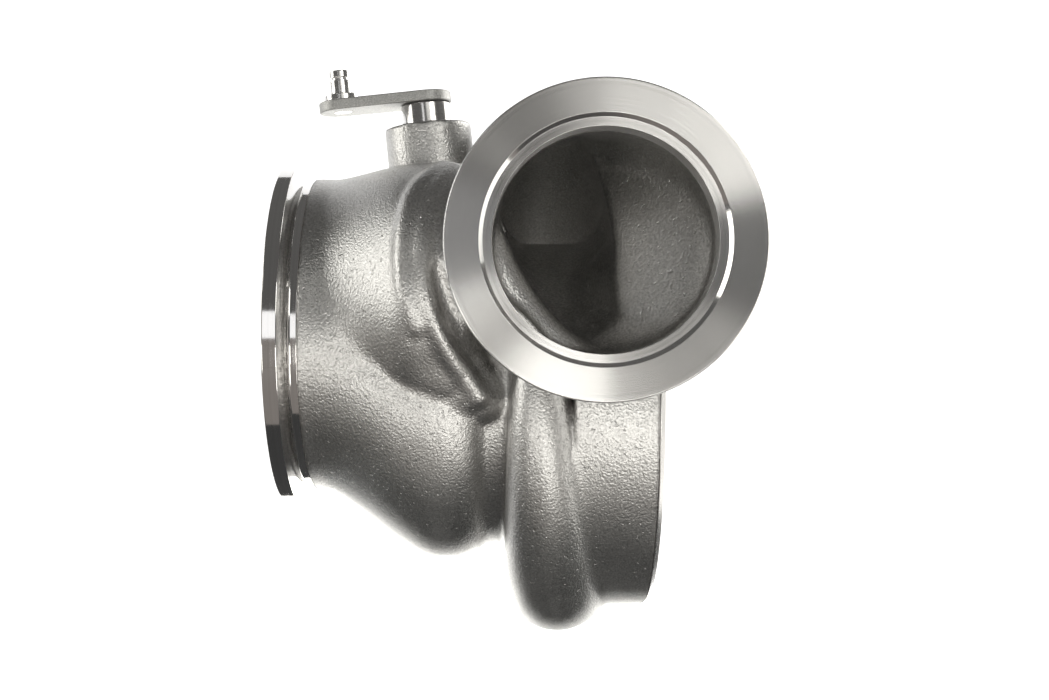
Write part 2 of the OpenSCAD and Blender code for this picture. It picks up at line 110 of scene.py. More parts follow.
# The cast skin as a field
def ease(t):
    """0 to 1 with a soft start and end."""
    t = np.clip(t, 0, 1)
    return t * t * (3 - 2 * t)


def mix(a, b, t):
    return a + (b - a) * t


def blend_union(a, b, k):
    """Joins two bodies with a fillet of about k."""
    h = np.clip(0.5 + 0.5 * (b - a) / k, 0, 1)
    return b + (a - b) * h - k * h * (1 - h)


def carve(body, space, k):
    """Takes a space out of a body and softens the edge by about k."""
    return -blend_union(-body, space, k)


def passage_w(a):
    """Half the width of the scroll's passage at an angle from the top, down to 0 at its end."""
    return np.where(
        a >= SCROLL_END, 0, SCROLL_HALF_W * (1 - (np.clip(a, 0, SCROLL_END) / SCROLL_END) ** 2.3)
    )


def scroll_outer_r(a):
    """Radius of the scroll's outside at an angle from the top."""
    return SCROLL_R_TOP - (SCROLL_R_TOP - SCROLL_R_BOTTOM) * a / 180


def scroll_x(a):
    """Place of the scroll's middle along X at an angle from the top."""
    return -(
        SCROLL_X_TOP
        + (SCROLL_X_BOTTOM - SCROLL_X_TOP) * ease(a / 180)
        + (SCROLL_X_FRONT - SCROLL_X_BOTTOM) * ease((a - 180) / 100)
    )


def scroll_section(x, y, z, shrink, end):
    """A U section swept round the turbine axis from the top, over the back, to the end angle."""
    r = np.sqrt(y**2 + z**2)
    turn = np.degrees(np.arctan2(y, z)) % 360
    a = np.minimum(turn, end)
    w = passage_w(a) + SCROLL_WALL - shrink
    crown = scroll_outer_r(a) - passage_w(a) - SCROLL_WALL
    across = x - scroll_x(a)
    d = np.where(r > crown, np.sqrt(across**2 + (r - crown) ** 2), np.abs(across)) - w
    past = np.minimum(np.radians(turn - end), np.radians(360 - turn)) * r
    return np.maximum(d, np.where(turn > end, past, -9.0))


def belly_radius(x):
    """Radius of the outlet chamber's belly at a distance behind the bearing face."""
    out = mix(BELLY_R, OUTLET_NECK_R + 0.8, ease((x - BELLY_X) / (NECK_X - BELLY_X) * 0.9))
    t = np.clip((BELLY_X - x) / (BELLY_X - BELLY_END_X), 0, 1)
    return np.where(x > BELLY_X, out, mix(BELLY_R, SHROUD_R, 1 - np.sqrt(1 - t**2 * 0.999)))


def belly_z(x):
    """Height of the belly's middle, which rises from the turbine axis to the outlet's."""
    return OUTLET_Z * ease((x - BELLY_X) / (NECK_X - BELLY_X))


def pocket_t(x):
    """Share of the way from the outlet's neck to the gate shaft."""
    return (NECK_X - x) / (NECK_X - SHAFT_X - 2.6)


def pocket_mid_y(x):
    return -POCKET_Y * ease(pocket_t(x))


def pocket_mid_z(x):
    return mix(OUTLET_Z, POCKET_Z, ease(pocket_t(x) * 1.3))


def pocket_radius(x):
    return mix(OUTLET_Z + OUTLET_NECK_R + 0.5, POCKET_TOP, ease(pocket_t(x))) - pocket_mid_z(x)


def slab(x, x0, x1, d):
    """Keeps a body that runs along X between two distances behind the bearing face."""
    return np.maximum(d, np.maximum(-x - x1, x + x0))


def narrow_share(z):
    """Share of the duct's length after which its wall has to be clear of the barrel."""
    barrel_front = np.sqrt(np.maximum(0, BARREL_R**2 - z**2))
    return np.clip((NECK_Y - barrel_front) / (NECK_Y + DUCT_OVERLAP), DUCT_NARROW, DUCT_NARROW_HIGH)


def duct_ring(t, r, shrink, floor_r):
    """The duct's ring at a share of its length, as x and z of its points."""
    w = SCROLL_HALF_W + SCROLL_WALL - shrink
    crown_r = SCROLL_R_TOP - SCROLL_HALF_W - SCROLL_WALL
    mid = -SCROLL_X_TOP
    step = math.pi * np.arange(CROWN_STEPS + 1) / CROWN_STEPS
    under = np.arange(1, FLOOR_STEPS) / FLOOR_STEPS
    cx = np.concatenate([[mid - w], mid - w * np.cos(step), [mid + w], mix(mid + w, mid - w, under)])
    cz = np.concatenate([[floor_r], crown_r + w * np.sin(step), [floor_r], floor_r + 0 * under])
    turn = np.radians(np.concatenate([
        np.linspace(180 + FLOOR_CORNER, -FLOOR_CORNER, CROWN_STEPS + 3),
        mix(-FLOOR_CORNER, FLOOR_CORNER - 180, under)]))
    z = INLET_Z + r * np.sin(turn)
    x = -INLET_X + r * np.cos(turn)
    return mix(x, cx, ease(t / narrow_share(z))), mix(z, cz, ease(t / DUCT_RISE))


def polygon_distance(px, pz, x, z):
    """Signed distance from points to a closed outline, negative inside."""
    best = np.full(np.broadcast(px, pz).shape, 1e9, np.float32)
    inside = np.zeros(best.shape, bool)
    for i in range(len(x)):
        j = (i + 1) % len(x)
        ex, ez = x[j] - x[i], z[j] - z[i]
        wx, wz = px - x[i], pz - z[i]
        h = np.clip((wx * ex + wz * ez) / (ex * ex + ez * ez + 1e-9), 0, 1)
        best = np.minimum(best, (wx - ex * h) ** 2 + (wz - ez * h) ** 2)
        crosses = (z[i] > pz) != (z[j] > pz)
        inside ^= crosses & (px < ex * (pz - z[i]) / (ez + 1e-9) + x[i])
    return np.where(inside, -1.0, 1.0) * np.sqrt(best)


def duct_section(x, y, z, r, shrink, floor_r):
    """The inlet duct, from a round ring at the flange to the scroll's U section at the top."""
    d = np.full(np.broadcast(x, y, z).shape, 9.0, np.float32)
    for j, here in enumerate(y[0, :, 0]):
        if -NECK_Y - 2 < here < 4:
            t = min(max((here + NECK_Y) / (NECK_Y + DUCT_OVERLAP), 0), 1)
            ring_x, ring_z = duct_ring(t, r, shrink, floor_r)
            d[:, j, :] = polygon_distance(x[:, 0, :], z[:, 0, :], ring_x, ring_z)
    return np.maximum(d, y - 0.2)


def turned_space(x, r, profile):
    """The space inside a turned profile of (distance behind the bearing face, radius) pairs."""
    xs, rs = zip(*profile)
    radius = np.interp(-x, xs, rs)
    return slab(x, xs[0], xs[-1], r - radius)


# The soft ridge that borders the gate chamber, as x, z, radius and height over the chamber
SOFT_RIDGE = [(-52.5, 54.5, 2.2, 0.1), (-57.6, 48, 2.2, 0.4), (-60.0, 40, 2.1, 0.6),
              (-60.6, 32, 2.1, 0.65), (-59.8, 24, 2.1, 0.6), (-57.4, 16, 2.0, 0.3)]
# The finer crest beside it, which runs down the keel to the tip, in the same terms
CREST = [(-49.8, 54, 1.8, 0.2), (-53.3, 48, 1.8, 0.7), (-55.6, 40, 1.8, 1.0), (-56.1, 32, 1.8, 1.1),
         (-55.4, 24, 1.8, 1.0), (-53, 15.5, 1.8, 0.9), (-49.8, 8.6, 1.9, 0.9),
         (-46.2, 3.4, 2.0, 0.8), (-43.2, -0.9, 2.2, 0.3)]
# The keel under the gate chamber, as x, y, z and radius
KEEL = [(-56, -36, 10.5, 12), (-51, -37.5, 5.5, 10.8), (-46.5, -38.5, 1.2, 8.6),
        (-42.8, -38.6, -1.8, 6.3)]
# The rounded corners between the duct's floor and its walls, as x, y, z and radius
DUCT_CORNERS = [
    [(-35, -62, 14, 3), (-38, -50, 20, 6), (-41, -38, 26, 6.5), (-41.5, -27.5, 31, 6.5),
     (-42, -10, 38.5, 5.5)],
    [(8, -60, 10, 2), (-2, -50, 19, 7), (-8.5, -38, 26, 8), (-9.3, -27.5, 30, 6),
     (-9.3, -10, 38.5, 5)],
]
CORNER_SOFTNESS = 8.0
# The sill low on the left of the duct, behind the flange, as its turn round the bore and its rise
SILL = [(168, 0), (180, 3.5), (195, 5.5), (212, 6.5), (230, 6), (248, 4), (266, 1), (280, -1)]
SILL_R, SILL_Y, SILL_SOFTNESS = 6.5, -57.0, 1.6
# The valley beside the crest, as x, z and radius
VALLEY = [(-52.5, 27, 2.4), (-49, 19.5, 4.4), (-44, 12, 5.6), (-39, 5, 5.6)]


def pocket_front(px, pz):
    """How far forward the gate chamber's skin stands at a place seen from the inlet side."""
    return float(
        pocket_mid_y(-px) - math.sqrt(max(0, pocket_radius(-px) ** 2 - (pz - pocket_mid_z(-px)) ** 2))
    )


def capsule(x, y, z, a, b, ra, rb):
    """A rod with round ends between two points, with a radius of its own at each."""
    ab = [q - p for p, q in zip(a, b)]
    pa = [x - a[0], y - a[1], z - a[2]]
    h = np.clip(sum(p * e for p, e in zip(pa, ab)) / sum(e * e for e in ab), 0, 1)
    return np.sqrt(sum((p - e * h) ** 2 for p, e in zip(pa, ab))) - (ra + (rb - ra) * h)


def chain(x, y, z, points, radii):
    """A chain of tapered rods."""
    d = 99.0
    for a, b, ra, rb in zip(points, points[1:], radii, radii[1:]):
        d = np.minimum(d, capsule(x, y, z, a, b, ra, rb))
    return d


def smooth_run(points, steps=5):
    """A smooth run of points through the given ones."""
    p = np.array(points, float)
    p = np.vstack([2 * p[0] - p[1], p, 2 * p[-1] - p[-2]])
    run = []
    for a, b, c, d in zip(p, p[1:], p[2:], p[3:]):
        for t in np.arange(steps) / steps:
            run.append(b + 0.5 * ((c - a) * t + (2 * a - 5 * b + 4 * c - d) * t**2
                                  + (3 * b - 3 * c + d - a) * t**3))
    return [*run, p[-2]]


def blend_chain(body, x, y, z, points, radii, k):
    """Blends a chain of rods into a body, worked out only near the rods."""
    reach = max(radii) + 2 * k
    near = []
    for axis, grid in enumerate((x, y, z)):
        ends = (min(p[axis] for p in points) - reach, max(p[axis] for p in points) + reach)
        near.append(slice(*np.searchsorted(grid.ravel(), ends)))
    near = tuple(near)
    rods = chain(x[near[0]], y[:, near[1]], z[:, :, near[2]], points, radii)
    body[near] = blend_union(body[near], rods, k)
    return body


def front(px, pz):
    """The chamber's or the keel's front at a place, whichever is nearer to the inlet side."""
    best = pocket_front(px, pz) if px < -44 else 0
    for a, b in zip(KEEL, KEEL[1:]):
        t = min(max((px - a[0]) / (b[0] - a[0]), 0), 1)
        cy, cz, cr = (mix(a[i], b[i], t) for i in (1, 2, 3))
        if abs(pz - cz) < cr:
            best = min(best, cy - math.sqrt(cr**2 - (pz - cz) ** 2))
    return best


def gate_space(x, y, z):
    """Coordinates at the gate shaft, with the last one along it."""
    gx, gz = x + SHAFT_X, z - VALVE_Z
    c, s = math.cos(SHAFT_LEAN), math.sin(SHAFT_LEAN)
    return c * gx + s * gz, y, -s * gx + c * gz


def belly_space(x, y, z):
    """Distance to the belly's skin, negative inside."""
    return np.sqrt(y**2 + (z - belly_z(-x)) ** 2) - belly_radius(-x)


def pocket_space(x, y, z):
    """Distance to the gate chamber's skin, negative inside."""
    out = np.sqrt((y - pocket_mid_y(-x)) ** 2 + (z - pocket_mid_z(-x)) ** 2)
    return out - pocket_radius(-x)


def raise_ridge(body, x, y, z, line):
    """Raises a ridge on the front of the gate chamber and the keel."""
    line = smooth_run(line)
    lip = [(px, front(px, pz) + pr - rise, pz) for px, pz, pr, rise in line]
    return blend_chain(body, x, y, z, lip, [v[2] for v in line], RIDGE_FILLET)


def cast_outside(x, y, z):
    """The casting before its passages are taken out."""
    r = np.sqrt(y**2 + z**2)
    gx, gy, gz = gate_space(x, y, z)
    barrel = np.maximum(r - BARREL_R, np.maximum(-x - BARREL_LEN, x + BEARING_END))
    shroud = slab(x, BARREL_LEN - 2, BELLY_END_X + 0.5, r - SHROUD_R)
    belly = slab(x, BELLY_END_X, NECK_X, belly_space(x, y, z))
    pocket = slab(x, SHAFT_X - 10, NECK_X, pocket_space(x, y, z))
    scroll = scroll_section(x, y, z, 0, SCROLL_WALL_END)
    duct = duct_section(x, y, z, INLET_BORE_R + INLET_WALL, 0, EXDUCER_R + 3)
    boss = np.maximum(np.sqrt(gx**2 + gy**2) - BOSS_R, np.maximum(gz - BOSS_TOP, 5 - gz))
    keel = chain(x, y, z, [k[:3] for k in KEEL], [k[3] for k in KEEL])
    chamber_skin = blend_union(pocket, keel, KEEL_FILLET)

    body = blend_union(barrel, scroll, SCROLL_FILLET)
    body = blend_union(body, shroud, BODY_FILLET)
    body = blend_union(body, belly, BODY_FILLET)
    body = blend_union(body, duct + 0.1, DUCT_FILLET)
    body = blend_union(body, chamber_skin, POCKET_FILLET)
    valley = chain(x, y, z, [(px, pocket_front(px, pz) - 1, pz) for px, pz, _ in VALLEY],
                   [v[2] for v in VALLEY])
    body = carve(body, valley, VALLEY_FILLET)
    for line in (SOFT_RIDGE, CREST):
        body = raise_ridge(body, x, y, z, line)
    return blend_union(body, boss, BOSS_FILLET)


def carve_duct(outside, x, y, z):
    """Takes out the scroll and the duct, and rounds the duct's corners and its sill."""
    r = np.sqrt(y**2 + z**2)
    body = carve(outside, scroll_section(x, y, z, SCROLL_WALL, SCROLL_END), ROOM_EDGE)
    duct = duct_section(x, y - 0.4, z, INLET_BORE_R, SCROLL_WALL, SCROLL_FLOOR_R)
    body = carve(body, duct, ROOM_EDGE)
    start = slab(x, SCROLL_X_TOP - SCROLL_HALF_W, SCROLL_X_TOP + SCROLL_HALF_W,
                 np.maximum(r - SCROLL_FLOOR_R - START_H, SCROLL_FLOOR_R - 0.5 - r))
    start = np.maximum(start, np.maximum(-TONGUE_Y - y, np.maximum(y - 1, -z)))
    body = carve(body, start, START_EDGE)
    for corner in DUCT_CORNERS:
        corner = smooth_run(corner)
        body = blend_chain(body, x, y, z, [c[:3] for c in corner], [c[3] for c in corner],
                           CORNER_SOFTNESS)
    sill = smooth_run([
        (-INLET_X + (INLET_BORE_R + SILL_R - rise) * math.cos(math.radians(turn)), SILL_Y,
         INLET_Z + (INLET_BORE_R + SILL_R - rise) * math.sin(math.radians(turn)))
        for turn, rise in SILL])
    body = blend_chain(body, x, y, z, sill, [SILL_R] * len(sill), SILL_SOFTNESS)
    body = np.maximum(body, outside)
    nozzle = slab(x, SCROLL_X_TOP, NOZZLE_X, r - SCROLL_FLOOR_R - 0.5)
    nozzle = np.maximum(nozzle, INDUCER_R - 1 - r)
    under_tongue = np.maximum(y + 1, -z - y)
    return carve(body, np.maximum(nozzle, -under_tongue), NOZZLE_EDGE)


def carve_chamber(body, x, y, z):
    """Takes out the outlet chamber and the room that the gate's arm and valve need."""
    gx, gy, gz = gate_space(x, y, z)
    wall = mix(CHAMBER_WALL_IN, CHAMBER_WALL_OUT,
               np.clip((NECK_X + x) / (NECK_X - BELLY_X), 0, 1))
    chamber = slab(x, BELLY_X + 2.5, NECK_X + 3, belly_space(x, y, z) + wall)
    pocket_room = slab(x, SHAFT_X + 3, NECK_X + 3, pocket_space(x, y, z) + CHAMBER_WALL)
    valve_r = np.sqrt((gy + ARM_LEN) ** 2 + gz**2)
    valve_room = np.maximum(valve_r - VALVE_R - VALVE_CLEAR, np.maximum(-12 - gx, gx - SEAT_X))
    hub_room = np.maximum(np.sqrt(gx**2 + gy**2) - HUB_R - HUB_CLEAR,
                          np.maximum(gz - BUSHING_FOOT, -6 - gz))
    port = np.maximum(valve_r - PORT_R, np.maximum(SEAT_X - 1 - gx, gx - 18))
    for space in (chamber, pocket_room, valve_room, hub_room, port):
        body = carve(body, space, ROOM_EDGE)
    return body


def carve_bores(body, x, y, z):
    """Takes out the recess, the wheel's bore and the bushing's bore."""
    r = np.sqrt(y**2 + z**2)
    gx, gy, gz = gate_space(x, y, z)
    body = carve(body, turned_space(x, r, [
        (BEARING_T - 1, RECESS_R), (RECESS_DEPTH, RECESS_R), (RECESS_DEPTH + 3, INDUCER_R + 1.5),
        (NOZZLE_X + 0.5, INDUCER_R), (NOZZLE_X + 6, EXDUCER_R), (BELLY_X + 5, EXDUCER_R)]),
        BORE_EDGE)
    bushing = np.maximum(np.sqrt(gx**2 + gy**2) - BUSHING_R, -gz)
    return carve(body, bushing, BUSHING_EDGE)


def cast_field(x, y, z):
    """The casting as a distance in millimetres, negative inside."""
    r = np.sqrt(y**2 + z**2)
    body = cast_outside(x, y, z)
    for take_out in (carve_duct, carve_chamber, carve_bores):
        body = take_out(body, x, y, z)
    body = np.where(r < BARREL_R + 2, np.maximum(body, x + BEARING_END), body)
    body = np.maximum(body, -slab(x, -20, BEARING_T, r - PILOT_R - 1))
    return np.maximum(body, np.maximum(-x - NECK_X, -y - NECK_Y)) + SKIN_INSET


def mesh_from_field(name, field, low, high, step):
    """Meshes the zero level of a field given in millimetres and settles the points on it."""
    counts = [int((end - start) / step) + 1 for start, end in zip(low, high)]
    x, y, z = np.ogrid[0:counts[0], 0:counts[1], 0:counts[2]]
    x, y, z = (
        (low[0] + step * x).astype(np.float32),
        (low[1] + step * y).astype(np.float32),
        (low[2] + step * z).astype(np.float32),
    )
    values = np.clip(field(x, y, z), -3 * step, 3 * step).astype(np.float32)
    grid = openvdb.FloatGrid(3 * step)
    grid.copyFromArray(values)
    points, quads = grid.convertToQuads(0.0)
    quads = quads[:, ::-1]
    gradient = np.stack(np.gradient(values), -1)

    def sample(array, p):
        base = np.clip(np.floor(p).astype(int), 0, np.array(counts) - 2)
        f = p - base
        total = 0
        for k in range(8):
            o = [(k >> 2) & 1, (k >> 1) & 1, k & 1]
            w = np.prod([f[:, i] if o[i] else 1 - f[:, i] for i in range(3)], axis=0)
            got = array[base[:, 0] + o[0], base[:, 1] + o[1], base[:, 2] + o[2]]
            total = total + (got * w if got.ndim == 1 else got * w[:, None])
        return total

    for _ in range(3):
        g = sample(gradient, points)
        v = sample(values, points)
        size = np.maximum((g**2).sum(1), 1e-4)
        move = np.clip(v / size, -0.5, 0.5)
        points = points - g * move[:, None]
    points = (np.array(low) + points * step) * MM
    mesh = bpy.data.meshes.new(name)
    mesh.from_pydata(points.tolist(), [], quads.tolist())
    mesh.polygons.foreach_set("use_smooth", [True] * len(mesh.polygons))
    mesh.update()
    obj = bpy.data.objects.new(name, mesh)
    bpy.context.scene.collection.objects.link(obj)
    return obj


cast_body = mesh_from_field("cast_body", cast_field, CAST_LOW, CAST_HIGH,
                            SKIN_STEP)
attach(cast_body, "housing")
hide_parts("casting")


# Turned pieces, with every edge broken by a small radius
def rounded(corners):
    """Rounds a closed outline of (along, out, radius) corners that runs anticlockwise."""
    points, normals = [], []
    for i, (u, v, radius) in enumerate(corners):
        here = Vector((u, v))
        back = (Vector(corners[i - 1][:2]) - here).normalized()
        on = (Vector(corners[(i + 1) % len(corners)][:2]) - here).normalized()
        half = back.angle(on) / 2
        n0 = Vector((-back.y, back.x))
        n1 = Vector((on.y, -on.x))
        side = 1 if n0.x * n1.y - n0.y * n1.x > 0 else -1
        centre = here + (back + on).normalized() * radius / math.sin(half)
        for k in range(EDGE_STEPS + 1):
            n = n0.lerp(n1, k / EDGE_STEPS).normalized()
            points.append(centre + n * radius * side)
            normals.append(n)
    return points, normals


def turn_piece(name, corners, place, axis, segments):
    """Turns a closed outline round an axis. Corners are (along the axis, radius, edge radius)."""
    points, normals = rounded(corners)
    axis = Vector(axis).normalized()
    side = axis.orthogonal().normalized()
    across = axis.cross(side)
    verts, directions = [], []
    for k in range(segments):
        turn = 2 * math.pi * k / segments
        out = side * math.cos(turn) + across * math.sin(turn)
        for p, n in zip(points, normals):
            verts.append((Vector(place) + axis * p.x + out * max(p.y, 0)) * MM)
            directions.append(axis * n.x + out * n.y)
    count = len(points)
    faces = []
    for k in range(segments):
        here, there = k * count, (k + 1) % segments * count
        for i in range(count):
            j = (i + 1) % count
            if points[i].y > 1e-3 or points[j].y > 1e-3:
                faces.append((here + i, here + j, there + j, there + i))
    mesh = bpy.data.meshes.new(name)
    mesh.from_pydata(verts, [], faces)
    mesh.polygons.foreach_set("use_smooth", [True] * len(faces))
    mesh.normals_split_custom_set_from_vertices(directions)
    obj = bpy.data.objects.new(name, mesh)
    bpy.context.scene.collection.objects.link(obj)
    return obj


def made(obj, body, node, material):
    """Hangs a finished piece on its body, in place of its plain node."""
    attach(obj, body)
    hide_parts(node)
    obj.data.materials.clear()
    obj.data.materials.append(material)


def finish_band(obj, first, last, material):
    """Gives the band of a turned piece between two of its corners a finish of its own."""
    obj.data.materials.append(material)
    low, high = first * (EDGE_STEPS + 1), last * (EDGE_STEPS + 1) + EDGE_STEPS
    count = len(obj.data.polygons) // TURN_STEPS
    for polygon in obj.data.polygons:
        if low <= polygon.index % count < high:
            polygon.material_index = 1


def rim_corners(rim_r, neck_r, bore_r):
    """A V-band rim from its face backwards, with the locating step round the bore."""
    step_r = bore_r + STEP_RING
    return [
        (STEP_DEPTH, bore_r, 0.15), (FLANGE_LEN, bore_r, 0.1), (FLANGE_LEN, neck_r, 0.3),
        (LAND_W + SLOPE_W, neck_r, 0.7), (LAND_W, rim_r, 0.35), (0, rim_r, 0.45),
        (0, step_r + STEP_DEPTH, 0.12), (STEP_DEPTH, step_r, 0.12),
    ]


def boss_place(along, out=0.0):
    """A place given along the gate shaft and square to it, in the plane of the turbine axis."""
    return Vector((
        -SHAFT_X + out * math.cos(SHAFT_LEAN) - along * math.sin(SHAFT_LEAN),
        0,
        VALVE_Z + out * math.sin(SHAFT_LEAN) + along * math.cos(SHAFT_LEAN),
    ))


def lever_arc(mid, r, start, end, steps):
    """Points of an arc round a place on the lever's middle line."""
    turns = [mix(start, end, k / steps) for k in range(steps + 1)]
    return [(mid + r * math.cos(turn), r * math.sin(turn)) for turn in turns]


def lever_plate():
    """The lever: a bar with round ends, holes for shaft and pin, and softened edges."""
    curve = bpy.data.curves.new("drive_lever", "CURVE")
    curve.dimensions = "2D"
    curve.fill_mode = "BOTH"
    curve.extrude = (LEVER_T / 2 - LEVER_EDGE) * MM
    curve.bevel_depth = LEVER_EDGE * MM
    curve.bevel_resolution = 3
    start = math.pi / 2 + math.asin((LEVER_R_SHAFT - LEVER_R_PIN) / LEVER_LEN)
    outline = [
        *lever_arc(-LEVER_LEN, LEVER_R_PIN - LEVER_EDGE, start, 2 * math.pi - start, LEVER_STEPS),
        *lever_arc(0, LEVER_R_SHAFT - LEVER_EDGE, -start, start, LEVER_STEPS),
    ]
    holes = [
        lever_arc(mid, r + LEVER_EDGE, 0, -2 * math.pi, HOLE_STEPS)[:-1]
        for mid, r in ((0, SHAFT_R), (-LEVER_LEN, PIN_HOLE_R))
    ]
    for points in [outline, *holes]:
        spline = curve.splines.new("POLY")
        spline.points.add(len(points) - 1)
        for point, (u, v) in zip(spline.points, points):
            point.co = (u * MM, v * MM, 0, 1)
        spline.use_cyclic_u = True
    flat = bpy.data.objects.new("lever_curve", curve)
    bpy.context.scene.collection.objects.link(flat)
    bpy.context.view_layer.update()
    mesh = bpy.data.meshes.new_from_object(flat)
    bpy.data.objects.remove(flat)
    mesh.transform(Matrix.Translation(boss_place(LEVER_Z + LEVER_T / 2) * MM)
                   @ Matrix.Rotation(-SHAFT_LEAN, 4, "Y"))
    mesh.name = "drive_lever"
    obj = bpy.data.objects.new("drive_lever", mesh)
    bpy.context.scene.collection.objects.link(obj)
    shade_flats(obj)
    return obj


def shade_flats(obj, angle=30.0):
    """Smooth shading that stays flat across flat faces and breaks at sharp edges."""
    mesh = obj.data
    mesh.polygons.foreach_set("use_smooth", [True] * len(mesh.polygons))
    mesh.set_sharp_from_angle(angle=math.radians(angle))
    keep = obj.modifiers.new("flats", "WEIGHTED_NORMAL")
    keep.keep_sharp = True
    keep.weight = 100


def softened(node, name, width):
    """The plain node's shape as a new piece with softened edges."""
    mesh = nodes[node].data.copy()
    mesh.name = name
    obj = bpy.data.objects.new(name, mesh)
    bpy.context.scene.collection.objects.link(obj)
    flat = bmesh.new()
    flat.from_mesh(mesh)
    bmesh.ops.remove_doubles(flat, verts=flat.verts, dist=0.002 * MM)
    bmesh.ops.dissolve_limit(flat, angle_limit=math.radians(0.5), verts=flat.verts,
                             edges=flat.edges)
    flat.to_mesh(mesh)
    flat.free()
    soft = obj.modifiers.new("soft_edges", "BEVEL")
    soft.width = width * MM
    soft.segments = 3
    soft.limit_method = "ANGLE"
    soft.angle_limit = math.radians(40)
    shade_flats(obj)
    return obj


# Finishes
def node_group(name, inputs, outputs):
    """An empty shader group with named sockets, given as (name, kind, value) and (name, kind)."""
    group = bpy.data.node_groups.new(name, "ShaderNodeTree")
    for label, kind, value in inputs:
        socket = group.interface.new_socket(label, in_out="INPUT", socket_type="NodeSocket" + kind)
        socket.default_value = value
    for label, kind in outputs:
        group.interface.new_socket(label, in_out="OUTPUT", socket_type="NodeSocket" + kind)
    return group, group.nodes.new("NodeGroupInput").outputs, group.nodes.new("NodeGroupOutput").inputs


def add(tree, kind, links=None, **values):
    """Adds a node, sets its values and links its inputs."""
    node = tree.nodes.new("ShaderNode" + kind)
    for key, value in values.items():
        if key in node.inputs:
            node.inputs[key].default_value = value
        else:
            setattr(node, key, value)
    for key, source in (links or {}).items():
        tree.links.new(source, node.inputs[key])
    return node


def maths(tree, operation, a, b):
    """A sum of two values or outputs."""
    node = add(tree, "Math", operation=operation)
    for socket, value in zip(node.inputs, (a, b)):
        if isinstance(value, (int, float)):
            socket.default_value = value
        else:
            tree.links.new(value, socket)
    return node.outputs[0]


def spread(tree, value, low, high, start=0.0, end=1.0):
    """Maps a mask to a range of values."""
    node = add(tree, "MapRange", {"Value": value}, **{
        "From Min": start, "From Max": end, "To Min": low, "To Max": high})
    return node.outputs["Result"]


def blend_colour(tree, mask, a, b):
    """Blends from one colour to another by a mask."""
    node = add(tree, "Mix", {"Factor": mask}, data_type="RGBA")
    node.inputs["A"].default_value = (*a, 1)
    node.inputs["B"].default_value = (*b, 1)
    return node.outputs["Result"]


def cast_grain_group():
    """Blasted casting skin: pebbles of a given size, sparse pits and slow changes of tone."""
    tree, given, put = node_group("cast_grain", [("Pebble Size", "Float", 0.0006)],
                                  [("Height", "Float"), ("Pits", "Float"), ("Tone", "Float")])
    place = add(tree, "TexCoord").outputs["Object"]
    scale = maths(tree, "DIVIDE", 1.0, given["Pebble Size"])
    pebbles = add(tree, "TexNoise", {"Vector": place, "Scale": scale}, Detail=1.5, Roughness=0.55,
                  Distortion=0.1)
    cells = add(tree, "TexVoronoi", {"Vector": place, "Scale": scale}, feature="SMOOTH_F1",
                Smoothness=0.6)
    grain = maths(tree, "ADD", maths(tree, "MULTIPLY", pebbles.outputs["Fac"], 0.75),
                  maths(tree, "MULTIPLY", cells.outputs["Distance"], -0.3))
    pits = add(tree, "TexNoise", {"Vector": place}, Scale=900.0, Detail=1.0)
    tone = add(tree, "TexNoise", {"Vector": place}, Scale=45.0, Detail=4.0, Roughness=0.55)
    tree.links.new(grain, put["Height"])
    tree.links.new(spread(tree, pits.outputs["Fac"], 0.0, 1.0, 0.68, 0.74), put["Pits"])
    tree.links.new(tone.outputs["Fac"], put["Tone"])
    return tree


def turning_marks_group():
    """Turning marks round an axis: fine lines, and slower bands where the tool changed its bite."""
    tree, given, put = node_group(
        "turning_marks",
        [("Centre", "Vector", (0, 0, 0)), ("Axis", "Vector", (1, 0, 0)), ("Spacing", "Float", 0.0001)],
        [("Height", "Float"), ("Bands", "Float"), ("Smudge", "Float")])
    place = add(tree, "TexCoord").outputs["Object"]
    local = add(tree, "VectorMath", {0: place, 1: given["Centre"]}, operation="SUBTRACT").outputs[0]
    along = add(tree, "VectorMath", {0: local, 1: given["Axis"]}, operation="DOT_PRODUCT")
    off = add(tree, "VectorMath", {0: local, 1: given["Axis"]}, operation="CROSS_PRODUCT").outputs[0]
    out = add(tree, "VectorMath", {0: off}, operation="LENGTH").outputs["Value"]
    way = maths(tree, "ADD", out, along.outputs["Value"])
    lines = add(tree, "TexNoise", {"W": maths(tree, "DIVIDE", way, given["Spacing"])},
                noise_dimensions="1D", Scale=1.0, Detail=2.0, Roughness=0.7)
    bands = add(tree, "TexNoise", {"W": way}, noise_dimensions="1D", Scale=1400.0, Detail=2.0)
    smudge = add(tree, "TexNoise", {"Vector": place}, Scale=70.0, Detail=4.0, Roughness=0.6)
    tree.links.new(lines.outputs["Fac"], put["Height"])
    tree.links.new(bands.outputs["Fac"], put["Bands"])
    tree.links.new(smudge.outputs["Fac"], put["Smudge"])
    return tree


cast_grain = cast_grain_group()
turning_marks = turning_marks_group()


def steel(name, **sockets):
    """A bare metal material, with its tree and shader."""
    material = bpy.data.materials.new(name)
    material.use_nodes = True
    shader = material.node_tree.nodes["Principled BSDF"]
    shader.inputs["Metallic"].default_value = 1.0
    for socket, value in sockets.items():
        shader.inputs[socket.replace("_", " ")].default_value = value
    return material, material.node_tree, shader


